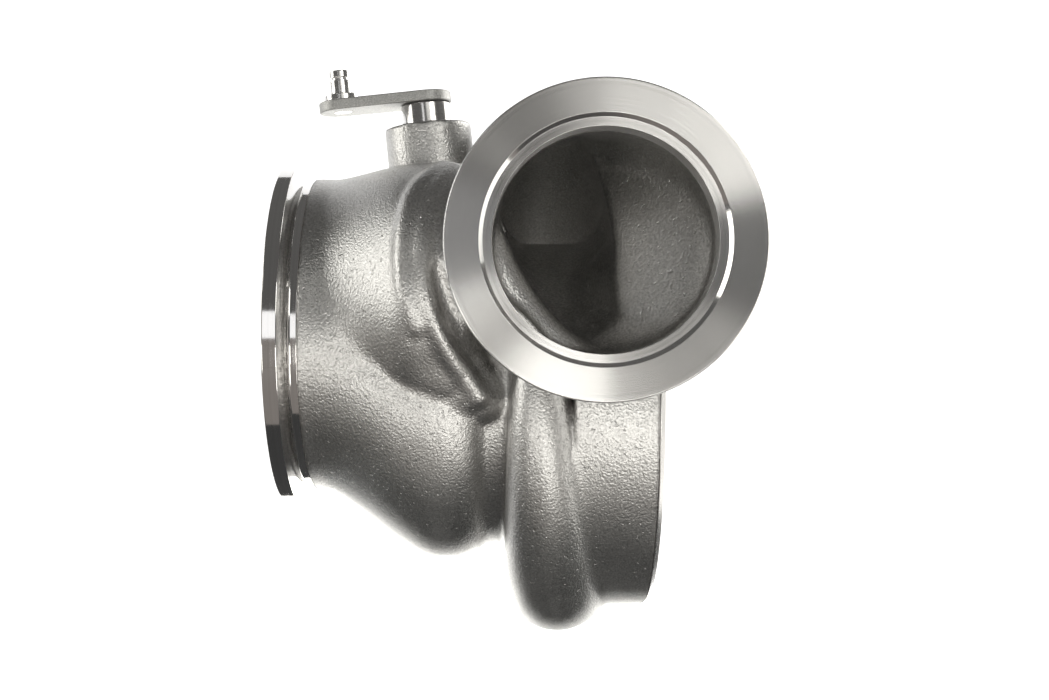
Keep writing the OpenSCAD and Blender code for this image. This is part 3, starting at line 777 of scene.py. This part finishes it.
def blasted(name, pebble, depth, dark, light, rough):
    """Cast or blasted steel with a pebbled skin. pebble and depth are in millimetres."""
    material, tree, shader = steel(name)
    grain = add(tree, "Group", node_tree=cast_grain)
    grain.inputs["Pebble Size"].default_value = pebble * MM
    skin = maths(tree, "SUBTRACT", grain.outputs["Height"],
                 maths(tree, "MULTIPLY", grain.outputs["Pits"], 0.5))
    bump = add(tree, "Bump", {"Height": skin}, Distance=depth * MM, Strength=1.0)
    tone = maths(tree, "ADD", maths(tree, "MULTIPLY", grain.outputs["Tone"], 0.25),
                 grain.outputs["Height"])
    colour = blend_colour(tree, spread(tree, tone, 0.0, 1.0, 0.15, 0.6), dark, light)
    tree.links.new(colour, shader.inputs["Base Color"])
    tree.links.new(spread(tree, grain.outputs["Tone"], *rough, 0.3, 0.7),
                   shader.inputs["Roughness"])
    tree.links.new(bump.outputs["Normal"], shader.inputs["Normal"])
    return material


def turned(name, centre, axis, spacing, depth, dark, light, rough, brushed=0.0):
    """Turned steel, with the spacing and depth of its marks in millimetres.

    brushed is how far its shine is drawn out across the turning marks.
    """
    material, tree, shader = steel(name, Anisotropic=brushed, Anisotropic_Rotation=0.25)
    marks = add(tree, "Group", node_tree=turning_marks)
    marks.inputs["Centre"].default_value = [c * MM for c in centre]
    marks.inputs["Axis"].default_value = axis
    marks.inputs["Spacing"].default_value = spacing * MM
    bump = add(tree, "Bump", {"Height": marks.outputs["Height"]}, Distance=depth * MM, Strength=1.0)
    lines = maths(tree, "ADD", maths(tree, "MULTIPLY", marks.outputs["Height"], 0.6),
                  maths(tree, "MULTIPLY", marks.outputs["Bands"], 0.4))
    tree.links.new(blend_colour(tree, spread(tree, lines, 0.0, 1.0, 0.3, 0.7), dark, light),
                   shader.inputs["Base Color"])
    wear = maths(tree, "ADD", maths(tree, "MULTIPLY", marks.outputs["Smudge"], 0.6),
                 maths(tree, "MULTIPLY", marks.outputs["Bands"], 0.4))
    tree.links.new(spread(tree, wear, *rough, 0.3, 0.7), shader.inputs["Roughness"])
    tree.links.new(bump.outputs["Normal"], shader.inputs["Normal"])
    if brushed:
        main = max(range(3), key=lambda i: abs(axis[i]))
        ring = add(tree, "Tangent", direction_type="RADIAL", axis="XYZ"[main])
        tree.links.new(ring.outputs["Tangent"], shader.inputs["Tangent"])
    return material


gate_up = (-math.sin(SHAFT_LEAN), 0, math.cos(SHAFT_LEAN))
valve_way = (math.cos(SHAFT_LEAN), 0, math.sin(SHAFT_LEAN))
gate_foot = (-SHAFT_X, 0, VALVE_Z)
pin_foot = tuple(boss_place(0, -LEVER_LEN))

inlet_mid, outlet_mid = (-INLET_X, 0, INLET_Z), (0, 0, OUTLET_Z)
valve_mid = (-SHAFT_X, -ARM_LEN, VALVE_Z)
cast_steel = blasted(
    "cast_steel", pebble=0.56, depth=0.17,
    dark=(0.47, 0.465, 0.455), light=(0.72, 0.71, 0.695), rough=(0.34, 0.42))
blasted_steel = blasted(
    "blasted_steel", pebble=0.30, depth=0.05,
    dark=(0.36, 0.36, 0.35), light=(0.66, 0.655, 0.64), rough=(0.46, 0.58))
turned_inlet = turned(
    "turned_inlet_steel", inlet_mid, (0, 1, 0), spacing=0.22, depth=0.0002,
    dark=(0.70, 0.69, 0.68), light=(0.84, 0.83, 0.82), rough=(0.25, 0.27), brushed=1.0)
polished_step = turned(
    "polished_step_steel", inlet_mid, (0, 1, 0), spacing=0.12, depth=0.0003,
    dark=(0.76, 0.75, 0.74), light=(0.84, 0.83, 0.82), rough=(0.07, 0.12))
polished_outlet = turned(
    "polished_outlet_steel", outlet_mid, (1, 0, 0), spacing=0.12, depth=0.0006,
    dark=(0.74, 0.73, 0.72), light=(0.82, 0.81, 0.80), rough=(0.05, 0.12))
turned_bearing = turned(
    "turned_bearing_steel", (0, 0, 0), (1, 0, 0), spacing=0.12, depth=0.002,
    dark=(0.60, 0.59, 0.58), light=(0.70, 0.69, 0.68), rough=(0.20, 0.32), brushed=0.6)
ground_bushing = turned(
    "ground_bushing_steel", gate_foot, gate_up, spacing=0.1, depth=0.0005,
    dark=(0.74, 0.73, 0.72), light=(0.84, 0.83, 0.82), rough=(0.12, 0.20))
ground_pin = turned(
    "ground_pin_steel", pin_foot, gate_up, spacing=0.08, depth=0.0005,
    dark=(0.80, 0.79, 0.78), light=(0.88, 0.87, 0.86), rough=(0.14, 0.22))
valve_steel = turned(
    "valve_steel", valve_mid, valve_way, spacing=0.1, depth=0.001,
    dark=(0.34, 0.33, 0.32), light=(0.46, 0.45, 0.44), rough=(0.24, 0.36))


# The pieces
def bolt_drills():
    """The drills of the bolt circle as one object, standing a little out of the bearing face."""
    drills = turn_piece("drills", [
        (-DRILL_OUT, 0, 0.01), (DRILL_IN, 0, 0.01),
        (DRILL_IN, BOLT_HOLE_R, 0.01), (-DRILL_OUT, BOLT_HOLE_R, 0.01)],
        (0, 0, BOLT_PCD / 2), (-1, 0, 0), DRILL_STEPS)
    circle = bmesh.new()
    for k in range(BOLT_COUNT):
        one = drills.data.copy()
        one.transform(Matrix.Rotation(2 * math.pi * (k + 0.5) / BOLT_COUNT, 4, "X"))
        circle.from_mesh(one)
        bpy.data.meshes.remove(one)
    bmesh.ops.remove_doubles(circle, verts=circle.verts, dist=0.001 * MM)
    circle.to_mesh(drills.data)
    circle.free()
    return drills


def bearing_face():
    """The machined end of the casting, with the pilot's step and the holes of the bolt circle."""
    lip_r, back = PILOT_R + PILOT_LIP, BEARING_END + 0.1
    face = turn_piece("bearing_end", [
        (0, PILOT_R, 0.3), (PILOT_DEPTH, PILOT_R, 0.2), (PILOT_DEPTH, RECESS_R, 0.3),
        (BEARING_T, RECESS_R, 0.1), (BEARING_T, lip_r, 0.1), (back, lip_r, 0.1),
        (back, BARREL_R - 0.15, 0.1), (BEARING_END - 0.1, BARREL_R - 0.1, 0.2),
        (0, BARREL_R - BEARING_END, 0.2)], (0, 0, 0), (-1, 0, 0), FACE_STEPS)
    drills = bolt_drills()
    cut = face.modifiers.new("bolt_holes", "BOOLEAN")
    cut.operation = "DIFFERENCE"
    cut.object = drills
    cut.solver = "EXACT"
    bpy.context.view_layer.update()
    drilled = face.evaluated_get(bpy.context.evaluated_depsgraph_get())
    mesh = bpy.data.meshes.new_from_object(drilled)
    face.modifiers.clear()
    face.data = mesh
    bpy.data.objects.remove(drills)
    shade_flats(face)
    return face


def rod_pin():
    """The actuator rod's pin: a foot in the lever, a collar, a body, a clip groove and a head."""
    collar_top = LEVER_T + PIN_COLLAR_H
    groove_foot = collar_top + PIN_BODY_H
    groove_top = groove_foot + PIN_GROOVE_W
    pin_top = groove_top + PIN_HEAD_H
    groove_r = PIN_R - PIN_GROOVE_D
    return turn_piece("rod_pin", [
        (0, 0, 0.01), (0, PIN_HOLE_R, 0.05), (LEVER_T, PIN_HOLE_R, 0.05),
        (LEVER_T, PIN_COLLAR_R, 0.3), (collar_top, PIN_COLLAR_R, 0.3), (collar_top, PIN_R, 0.25),
        (groove_foot, PIN_R, 0.1), (groove_foot, groove_r, 0.1), (groove_top, groove_r, 0.1),
        (groove_top, PIN_R, 0.1), (pin_top, PIN_R, 0.35), (pin_top, 0, 0.01)][::-1],
        boss_place(LEVER_Z, -LEVER_LEN), gate_up, PIN_STEPS)


cast_body.data.materials.append(cast_steel)
inlet_rim = turn_piece("inlet_rim", rim_corners(INLET_RIM_R, INLET_NECK_R, INLET_BORE_R),
                       (-INLET_X, -INLET_Y, INLET_Z), (0, 1, 0), TURN_STEPS)
made(inlet_rim, "housing", "inlet_flange", turned_inlet)
finish_band(inlet_rim, 6, 7, polished_step)
outlet_rim = turn_piece("outlet_rim", rim_corners(OUTLET_RIM_R, OUTLET_NECK_R, OUTLET_BORE_R),
                        (-OUTLET_X, 0, OUTLET_Z), (1, 0, 0), TURN_STEPS)
made(outlet_rim, "housing", "outlet_flange", polished_outlet)
made(bearing_face(), "housing", "bearing_flange", turned_bearing)
bushing = turn_piece("shaft_bushing", [
    (BUSHING_FOOT, SHAFT_R + 0.05, 0.1), (BUSHING_TOP, SHAFT_R + 0.05, 0.2),
    (BUSHING_TOP, BUSHING_R, 0.35), (BUSHING_FOOT, BUSHING_R, 0.3)][::-1],
    gate_foot, gate_up, PIN_STEPS)
made(bushing, "housing", "gate_bushing", ground_bushing)
made(rod_pin(), "gate", "actuator_pin", ground_pin)
shaft = turn_piece("drive_shaft", [
    (-HUB_H / 2, 0, 0.01), (-HUB_H / 2, SHAFT_R, 0.3), (LEVER_Z + LEVER_T, SHAFT_R, 0.4),
    (LEVER_Z + LEVER_T, 0, 0.01)][::-1], gate_foot, gate_up, PIN_STEPS)
made(shaft, "gate", "gate_shaft", ground_bushing)
made(lever_plate(), "gate", "gate_lever", blasted_steel)
for node, name, body, slot, material, width in (
    ("swing_arm", "valve_arm", "gate", "valve_steel", blasted_steel, 0.5),
    ("gate_valve", "valve_disc", "valve", "valve_steel", valve_steel, 0.4),
    ("valve_washer", "disc_washer", "valve", "machined_steel", ground_bushing, 0.15),
    ("valve_cap", "disc_cap", "valve", "valve_steel", valve_steel, 0.3),
):
    made(softened(node, name, width), body, node, material)


# Studio
def seen_rays(tree):
    """1 for the rays of the camera and for those that metal or glass sends on, else 0."""
    path = add(tree, "LightPath")
    seen = maths(tree, "MAXIMUM", path.outputs["Is Camera Ray"], path.outputs["Is Glossy Ray"])
    return maths(tree, "MAXIMUM", seen, path.outputs["Is Transmission Ray"])


def plate(name, corners, colour, glow):
    """A flat card of the studio. glow is the light that camera, metal and glass see in it."""
    mesh = bpy.data.meshes.new(name)
    mesh.from_pydata([Vector(c) * MM for c in corners], [], [list(range(len(corners)))])
    obj = bpy.data.objects.new(name, mesh)
    bpy.context.scene.collection.objects.link(obj)
    material = bpy.data.materials.new(name)
    material.use_nodes = True
    tree = material.node_tree
    shader = tree.nodes["Principled BSDF"]
    shader.inputs["Base Color"].default_value = (*colour, 1)
    shader.inputs["Roughness"].default_value = 0.9
    shader.inputs["Emission Color"].default_value = (*glow, 1)
    tree.links.new(seen_rays(tree), shader.inputs["Emission Strength"])
    obj.data.materials.append(material)
    return obj


def level(name, xs, ys, z, colour, glow):
    """A level card between two places each along X and Y."""
    corners = [(xs[0], ys[0], z), (xs[1], ys[0], z), (xs[1], ys[1], z), (xs[0], ys[1], z)]
    return plate(name, corners, colour, glow)


def upright(name, xs, y, zs, colour, glow):
    """An upright card square to Y, between two places along X and two heights."""
    corners = [(xs[0], y, zs[0]), (xs[1], y, zs[0]), (xs[1], y, zs[1]), (xs[0], y, zs[1])]
    return plate(name, corners, colour, glow)


def unseen(obj):
    """Keeps a card or lamp out of the camera's sight and off the other lamps' way."""
    obj.visible_camera = False
    obj.visible_shadow = False
    return obj


def card(name, azimuths, elevations, distance, glow):
    """An upright card that metal shows, seen from the part between two azimuths and elevations."""
    xs = [PART_MID[0] + distance * math.tan(math.radians(a)) for a in azimuths]
    zs = [PART_MID[2] + distance * math.tan(math.radians(e)) for e in elevations]
    return unseen(upright(name, xs, PART_MID[1] - distance, zs, BLACK, glow))


def panel(name, azimuths, elevations, distance, glow):
    """A soft panel lamp that faces the part, seen from it between two azimuths and elevations."""
    a, e = (math.radians(sum(pair) / 2) for pair in (azimuths, elevations))
    half_a, half_e = (math.radians(pair[1] - pair[0]) / 2 for pair in (azimuths, elevations))
    away = Vector((math.sin(a) * math.cos(e), -math.cos(a) * math.cos(e), math.sin(e)))
    light = bpy.data.lights.new(name, "AREA")
    light.shape = "RECTANGLE"
    light.size = 2 * distance * math.tan(half_a) * math.cos(e) * MM
    light.size_y = 2 * distance * math.tan(half_e) * MM
    light.energy = glow * math.pi * light.size * light.size_y
    light.color = LAMP_TINT
    obj = bpy.data.objects.new(name, light)
    bpy.context.scene.collection.objects.link(obj)
    obj.location = (Vector(PART_MID) + away * distance) * MM
    obj.rotation_euler = (-away).to_track_quat("-Z", "Y").to_euler()
    return unseen(obj)


floor_x, room_x, room_z = (-FLOOR_REACH, FLOOR_REACH), (-SIDE_X, SIDE_X), (FLOOR_Z, CEILING_Z)
level("floor", floor_x, (-FLOOR_REACH, BACK_Y), FLOOR_Z, (0.8, 0.8, 0.8), GREY)
upright("backdrop", floor_x, BACK_Y, room_z, (0.9, 0.9, 0.9), WHITE)
unseen(level("brown_floor_card", room_x, (FRONT_Y, FLOOR_BREAK), FLOOR_Z + 1, BLACK, BROWN))
unseen(level("ceiling_card", room_x, (FRONT_Y, BACK_Y - 1), CEILING_Z, BLACK, DARK))
unseen(upright("front_card", room_x, FRONT_Y, room_z, BLACK, DARK))
for name, x in (("side_card_left", -SIDE_X), ("side_card_right", SIDE_X)):
    unseen(plate(name, [(x, FRONT_Y, FLOOR_Z), (x, SIDE_END, FLOOR_Z), (x, SIDE_END, CEILING_Z),
                        (x, FRONT_Y, CEILING_Z)], BLACK, DARK))
unseen(level("dark_card_below", BELOW_X, BELOW_Y, BELOW_Z, BLACK, SHADE))
card("rim_white_card", (-19, -10.5), (-2.8, 14.6), 780, BRIGHT)
card("rim_brown_card", (-19, -10.5), (-22.5, -2.8), 780, BROWN)

world = bpy.data.worlds.new("studio")
bpy.context.scene.world = world
world.use_nodes = True
sky = world.node_tree.nodes["Background"]
sky.inputs["Color"].default_value = (1, 1, 1, 1)
strength = spread(world.node_tree, seen_rays(world.node_tree), ROOM_LIGHT, 1.0)
world.node_tree.links.new(strength, sky.inputs["Strength"])

# Each lamp's azimuths and elevations seen from the part, its distance and its glow
for name, azimuths, elevations, distance, glow in (
    ("left_panel", (-45, -25), (-22, -6), 900, 4.2),
    ("low_panel", (-10, 5), (-22, -8), 900, 6.0),
    ("foot_panel", (4, 36), (-38, -20), 550, 3.0),
    ("right_panel", (20, 40), (12, 32), 900, 3.9),
    ("upper_panel", (0, 20), (14, 30), 900, 0.9),
    ("low_right_panel", (20, 40), (-20, -8), 900, 1.8),
    ("side_panel", (65, 95), (-30, 16), 600, 1.4),
    ("far_left_panel", (-100, -70), (-8, 34), 900, 2.6),
    ("edge_panel", (100, 135), (0, 45), 900, 3.0),
    ("low_edge_panel", (100, 135), (-45, 0), 600, 1.6),
    ("under_panel", (85, 195), (-88, -62), 280, 3.4),
    ("back_floor_panel", (150, 210), (-62, -15), 350, 2.6),
    ("upper_left_panel", (-40, -27), (26, 38), 900, 1.8),
):
    panel(name, azimuths, elevations, distance, glow)

# Camera
camera_data = bpy.data.cameras.new("camera")
camera_data.sensor_width = SENSOR_W
camera_data.lens = CAMERA_FOCUS / FRAME_W * SENSOR_W
camera_data.shift_x = (FRAME_W / 2 - CAMERA_MID_X) / FRAME_W
camera_data.clip_start = 0.01
camera = bpy.data.objects.new("camera", camera_data)
bpy.context.scene.collection.objects.link(camera)
camera.location = Vector(CAMERA_PLACE) * MM
camera.rotation_euler = (math.radians(90), 0, 0)
bpy.context.scene.camera = camera
bpy.context.scene.view_settings.view_transform = "Standard"
